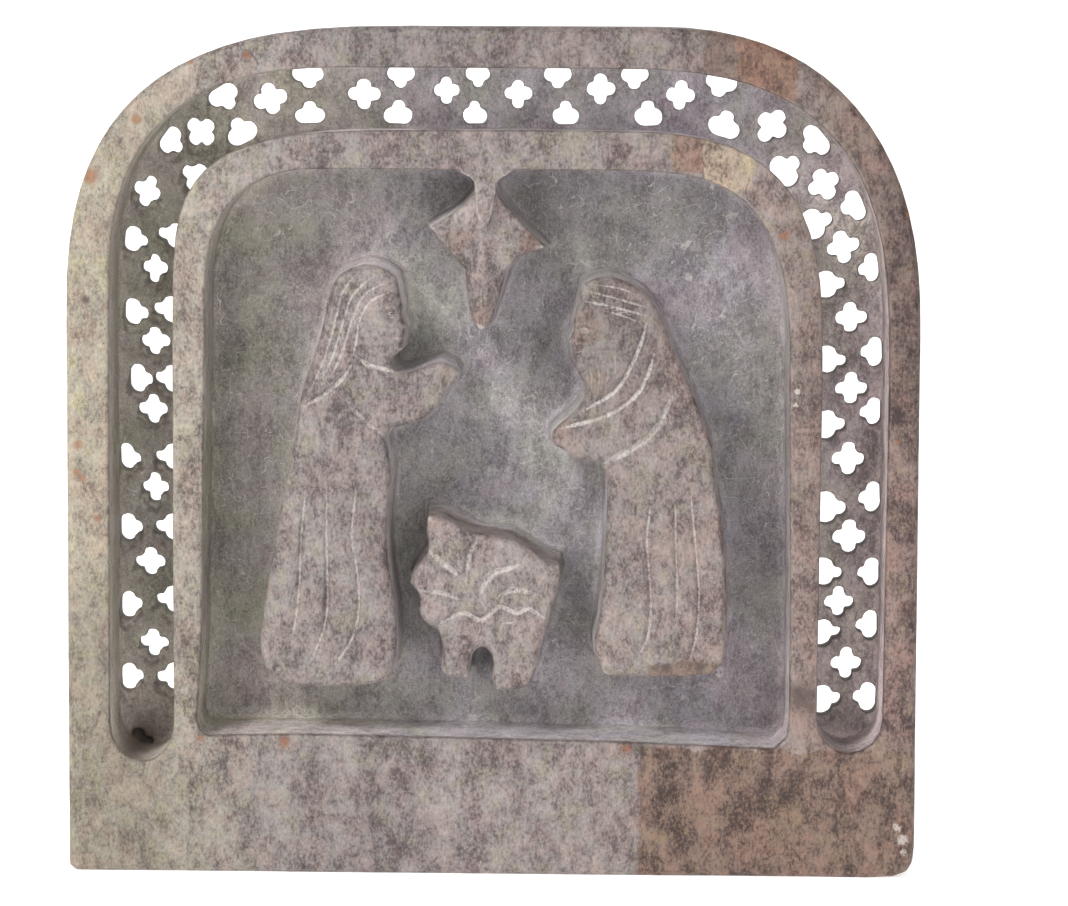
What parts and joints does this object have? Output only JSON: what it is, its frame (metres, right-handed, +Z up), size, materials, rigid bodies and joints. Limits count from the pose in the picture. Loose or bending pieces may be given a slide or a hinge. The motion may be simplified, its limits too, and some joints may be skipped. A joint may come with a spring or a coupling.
{
  "type": "stone nativity sculpture",
  "caption": "Arched stone slab with a pierced channel round a niche that holds two robed figures, a manger and a hanging star.",
  "frame": {"origin": "middle of the base, on the surface the slab stands on", "axes": "+Z up, -Y out of the carved face, +X to the right as seen from the front"},
  "size_m": [0.153, 0.022, 0.1526],
  "materials": {
    "stone": "mottled pinkish grey soapstone, rubbed smooth in front and tool-marked in the cuts"
  },
  "bodies": {
    "root": {"nativity_stone": "stone"}
  },
  "joints": []
}
